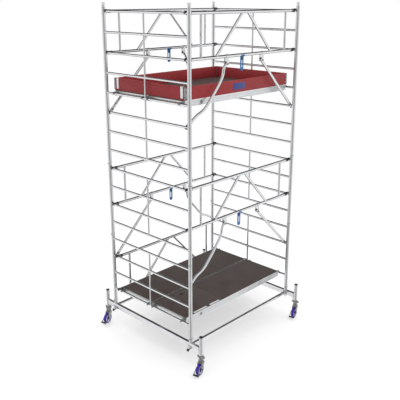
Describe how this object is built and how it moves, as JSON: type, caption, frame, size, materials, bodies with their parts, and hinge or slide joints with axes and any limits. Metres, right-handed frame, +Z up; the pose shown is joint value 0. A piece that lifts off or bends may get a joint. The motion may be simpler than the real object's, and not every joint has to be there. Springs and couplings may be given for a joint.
{
  "type": "mobile scaffold tower",
  "caption": "Rolling aluminium scaffold tower: stacked ladder frames, double guardrails with swing braces, hatched decks, toe boards and braked casters on levelling spindles.",
  "frame": {"origin": "middle of the tower's bounding box, on the floor under the wheels", "axes": "+X along the bay towards the right-hand ladder frames, +Y across the bay towards the back, +Z up"},
  "size_m": [2.1992, 1.9738, 4.455],
  "materials": {
    "aluminium": "mill-finish extruded tube, slightly brushed along its length",
    "galvanised_steel": "zinc-plated, satin",
    "plywood": "dark brown phenolic film with a fine anti-slip mesh print",
    "red_board": "red phenolic-coated board, satin",
    "blue_plastic": "moulded blue plastic",
    "wheel_plastic": "blue-violet polyamide wheel with a lighter side disc",
    "pedal_steel": "dark grey coated pressed steel"
  },
  "bodies": {
    "tower": {"base_beam_left": "aluminium", "ladder_frame_left_lower": "aluminium", "ladder_frame_left_middle": "aluminium", "ladder_frame_left_upper": "aluminium", "base_beam_right": "aluminium", "ladder_frame_right_lower": "aluminium", "ladder_frame_right_middle": "aluminium", "ladder_frame_right_upper": "aluminium", "base_strut_front": "aluminium", "base_strut_back": "aluminium", "guard_front_upper": "aluminium", "guard_front_lower": "aluminium", "guard_back_upper": "aluminium", "guard_back_lower": "aluminium", "guard_back_base": "aluminium", "deck_frame_upper_front": "aluminium", "deck_panel_upper_front": "plywood", "deck_upper_back": "aluminium", "deck_frame_lower_front": "aluminium", "deck_panel_lower_front": "plywood", "deck_lower_back": "aluminium", "toe_board_front": "red_board", "toe_board_back": "red_board", "toe_board_left": "red_board", "toe_board_right": "red_board"},
    "spindle_front_left": {"spindle_front_left": "galvanised_steel"},
    "levelling_nut_front_left": {"levelling_nut_front_left": "galvanised_steel"},
    "caster_fork_front_left": {"caster_fork_front_left": "galvanised_steel"},
    "caster_wheel_front_left": {"caster_wheel_front_left": "wheel_plastic"},
    "brake_pedal_front_left": {"brake_pedal_front_left": "pedal_steel"},
    "spindle_back_left": {"spindle_back_left": "galvanised_steel"},
    "levelling_nut_back_left": {"levelling_nut_back_left": "galvanised_steel"},
    "caster_fork_back_left": {"caster_fork_back_left": "galvanised_steel"},
    "caster_wheel_back_left": {"caster_wheel_back_left": "wheel_plastic"},
    "brake_pedal_back_left": {"brake_pedal_back_left": "pedal_steel"},
    "spindle_front_right": {"spindle_front_right": "galvanised_steel"},
    "levelling_nut_front_right": {"levelling_nut_front_right": "galvanised_steel"},
    "caster_fork_front_right": {"caster_fork_front_right": "galvanised_steel"},
    "caster_wheel_front_right": {"caster_wheel_front_right": "wheel_plastic"},
    "brake_pedal_front_right": {"brake_pedal_front_right": "pedal_steel"},
    "spindle_back_right": {"spindle_back_right": "galvanised_steel"},
    "levelling_nut_back_right": {"levelling_nut_back_right": "galvanised_steel"},
    "caster_fork_back_right": {"caster_fork_back_right": "galvanised_steel"},
    "caster_wheel_back_right": {"caster_wheel_back_right": "wheel_plastic"},
    "brake_pedal_back_right": {"brake_pedal_back_right": "pedal_steel"},
    "brace_bent_front_upper": {"brace_bent_front_upper": "aluminium"},
    "brace_straight_front_upper": {"brace_straight_front_upper": "aluminium"},
    "hook_front_upper": {"hook_front_upper": "blue_plastic"},
    "brace_bent_front_lower": {"brace_bent_front_lower": "aluminium"},
    "brace_straight_front_lower": {"brace_straight_front_lower": "aluminium"},
    "hook_front_lower": {"hook_front_lower": "blue_plastic"},
    "brace_bent_back_upper": {"brace_bent_back_upper": "aluminium"},
    "brace_straight_back_upper": {"brace_straight_back_upper": "aluminium"},
    "hook_back_upper": {"hook_back_upper": "blue_plastic"},
    "brace_bent_back_lower": {"brace_bent_back_lower": "aluminium"},
    "brace_straight_back_lower": {"brace_straight_back_lower": "aluminium"},
    "hook_back_lower": {"hook_back_lower": "blue_plastic"},
    "hatch_lid_upper": {"hatch_lid_upper": "plywood"},
    "hatch_lid_lower": {"hatch_lid_lower": "plywood"}
  },
  "joints": [
    {"name": "nut_turn_front_left", "type": "hinge", "parent": "tower", "child": "levelling_nut_front_left", "pos_m": [-0.95265, -0.91342, 0.234], "axis": [0, 0, 1], "range_deg": [0, 6740]},
    {"name": "spindle_slide_front_left", "type": "slide", "parent": "tower", "child": "spindle_front_left", "axis": [0, 0, -1], "range_m": [0, 0.15]},
    {"name": "caster_swivel_front_left", "type": "hinge", "parent": "spindle_front_left", "child": "caster_fork_front_left", "pos_m": [-0.95265, -0.91342, 0.18], "axis": [0, 0, 1], "continuous": true},
    {"name": "wheel_spin_front_left", "type": "hinge", "parent": "caster_fork_front_left", "child": "caster_wheel_front_left", "pos_m": [-0.98646, -0.92248, 0.075], "axis": [0.2588, -0.9659, 0], "continuous": true},
    {"name": "brake_lift_front_left", "type": "hinge", "parent": "caster_fork_front_left", "child": "brake_pedal_front_left", "pos_m": [-1.00095, -0.92636, 0.095], "axis": [-0.2588, 0.9659, 0], "range_deg": [0, 20]},
    {"name": "nut_turn_back_left", "type": "hinge", "parent": "tower", "child": "levelling_nut_back_left", "pos_m": [-0.95265, 0.93458, 0.234], "axis": [0, 0, 1], "range_deg": [0, 6740]},
    {"name": "spindle_slide_back_left", "type": "slide", "parent": "tower", "child": "spindle_back_left", "axis": [0, 0, -1], "range_m": [0, 0.15]},
    {"name": "caster_swivel_back_left", "type": "hinge", "parent": "spindle_back_left", "child": "caster_fork_back_left", "pos_m": [-0.95265, 0.93458, 0.18], "axis": [0, 0, 1], "continuous": true},
    {"name": "wheel_spin_back_left", "type": "hinge", "parent": "caster_fork_back_left", "child": "caster_wheel_back_left", "pos_m": [-0.98646, 0.92552, 0.075], "axis": [0.2588, -0.9659, 0], "continuous": true},
    {"name": "brake_lift_back_left", "type": "hinge", "parent": "caster_fork_back_left", "child": "brake_pedal_back_left", "pos_m": [-1.00095, 0.92164, 0.095], "axis": [-0.2588, 0.9659, 0], "range_deg": [0, 20]},
    {"name": "nut_turn_front_right", "type": "hinge", "parent": "tower", "child": "levelling_nut_front_right", "pos_m": [1.04735, -0.91342, 0.234], "axis": [0, 0, 1], "range_deg": [0, 6740]},
    {"name": "spindle_slide_front_right", "type": "slide", "parent": "tower", "child": "spindle_front_right", "axis": [0, 0, -1], "range_m": [0, 0.15]},
    {"name": "caster_swivel_front_right", "type": "hinge", "parent": "spindle_front_right", "child": "caster_fork_front_right", "pos_m": [1.04735, -0.91342, 0.18], "axis": [0, 0, 1], "continuous": true},
    {"name": "wheel_spin_front_right", "type": "hinge", "parent": "caster_fork_front_right", "child": "caster_wheel_front_right", "pos_m": [1.01354, -0.92248, 0.075], "axis": [0.2588, -0.9659, 0], "continuous": true},
    {"name": "brake_lift_front_right", "type": "hinge", "parent": "caster_fork_front_right", "child": "brake_pedal_front_right", "pos_m": [0.99905, -0.92636, 0.095], "axis": [-0.2588, 0.9659, 0], "range_deg": [0, 20]},
    {"name": "nut_turn_back_right", "type": "hinge", "parent": "tower", "child": "levelling_nut_back_right", "pos_m": [1.04735, 0.93458, 0.234], "axis": [0, 0, 1], "range_deg": [0, 6740]},
    {"name": "spindle_slide_back_right", "type": "slide", "parent": "tower", "child": "spindle_back_right", "axis": [0, 0, -1], "range_m": [0, 0.15]},
    {"name": "caster_swivel_back_right", "type": "hinge", "parent": "spindle_back_right", "child": "caster_fork_back_right", "pos_m": [1.04735, 0.93458, 0.18], "axis": [0, 0, 1], "continuous": true},
    {"name": "wheel_spin_back_right", "type": "hinge", "parent": "caster_fork_back_right", "child": "caster_wheel_back_right", "pos_m": [1.01354, 0.92552, 0.075], "axis": [0.2588, -0.9659, 0], "continuous": true},
    {"name": "brake_lift_back_right", "type": "hinge", "parent": "caster_fork_back_right", "child": "brake_pedal_back_right", "pos_m": [0.99905, 0.92164, 0.095], "axis": [-0.2588, 0.9659, 0], "range_deg": [0, 20]},
    {"name": "brace_swing_bent_front_upper", "type": "hinge", "parent": "tower", "child": "brace_bent_front_upper", "pos_m": [-0.28265, -0.68342, 3.762], "axis": [0, -1, 0], "range_deg": [0, 50]},
    {"name": "brace_swing_straight_front_upper", "type": "hinge", "parent": "tower", "child": "brace_straight_front_upper", "pos_m": [0.37735, -0.68342, 3.762], "axis": [0, 1, 0], "range_deg": [0, 50]},
    {"name": "hook_swing_front_upper", "type": "hinge", "parent": "tower", "child": "hook_front_upper", "pos_m": [-0.00265, -0.68342, 3.85], "axis": [1, 0, 0], "range_deg": [-45, 45]},
    {"name": "brace_swing_bent_front_lower", "type": "hinge", "parent": "tower", "child": "brace_bent_front_lower", "pos_m": [-0.28265, -0.68342, 1.762], "axis": [0, -1, 0], "range_deg": [0, 50]},
    {"name": "brace_swing_straight_front_lower", "type": "hinge", "parent": "tower", "child": "brace_straight_front_lower", "pos_m": [0.37735, -0.68342, 1.762], "axis": [0, 1, 0], "range_deg": [0, 50]},
    {"name": "hook_swing_front_lower", "type": "hinge", "parent": "tower", "child": "hook_front_lower", "pos_m": [-0.00265, -0.68342, 1.85], "axis": [1, 0, 0], "range_deg": [-45, 45]},
    {"name": "brace_swing_bent_back_upper", "type": "hinge", "parent": "tower", "child": "brace_bent_back_upper", "pos_m": [0.37735, 0.70458, 3.762], "axis": [0, 1, 0], "range_deg": [0, 50]},
    {"name": "brace_swing_straight_back_upper", "type": "hinge", "parent": "tower", "child": "brace_straight_back_upper", "pos_m": [-0.28265, 0.70458, 3.762], "axis": [0, -1, 0], "range_deg": [0, 50]},
    {"name": "hook_swing_back_upper", "type": "hinge", "parent": "tower", "child": "hook_back_upper", "pos_m": [0.09735, 0.70458, 3.85], "axis": [1, 0, 0], "range_deg": [-45, 45]},
    {"name": "brace_swing_bent_back_lower", "type": "hinge", "parent": "tower", "child": "brace_bent_back_lower", "pos_m": [0.37735, 0.70458, 1.762], "axis": [0, 1, 0], "range_deg": [0, 50]},
    {"name": "brace_swing_straight_back_lower", "type": "hinge", "parent": "tower", "child": "brace_straight_back_lower", "pos_m": [-0.28265, 0.70458, 1.762], "axis": [0, -1, 0], "range_deg": [0, 50]},
    {"name": "hook_swing_back_lower", "type": "hinge", "parent": "tower", "child": "hook_back_lower", "pos_m": [0.09735, 0.70458, 1.85], "axis": [1, 0, 0], "range_deg": [-45, 45]},
    {"name": "hatch_hinge_upper", "type": "hinge", "parent": "tower", "child": "hatch_lid_upper", "pos_m": [-0.80265, -0.59842, 3.392], "axis": [1, 0, 0], "range_deg": [0, 90]},
    {"name": "hatch_hinge_lower", "type": "hinge", "parent": "tower", "child": "hatch_lid_lower", "pos_m": [-0.80265, -0.59842, 0.642], "axis": [1, 0, 0], "range_deg": [0, 90]}
  ],
  "couplings": [
    {"joint": "spindle_slide_front_left", "follows": "nut_turn_front_left", "m_per_rad": 0.0012732},
    {"joint": "spindle_slide_back_left", "follows": "nut_turn_back_left", "m_per_rad": 0.0012732},
    {"joint": "spindle_slide_front_right", "follows": "nut_turn_front_right", "m_per_rad": 0.0012732},
    {"joint": "spindle_slide_back_right", "follows": "nut_turn_back_right", "m_per_rad": 0.0012732}
  ]
}
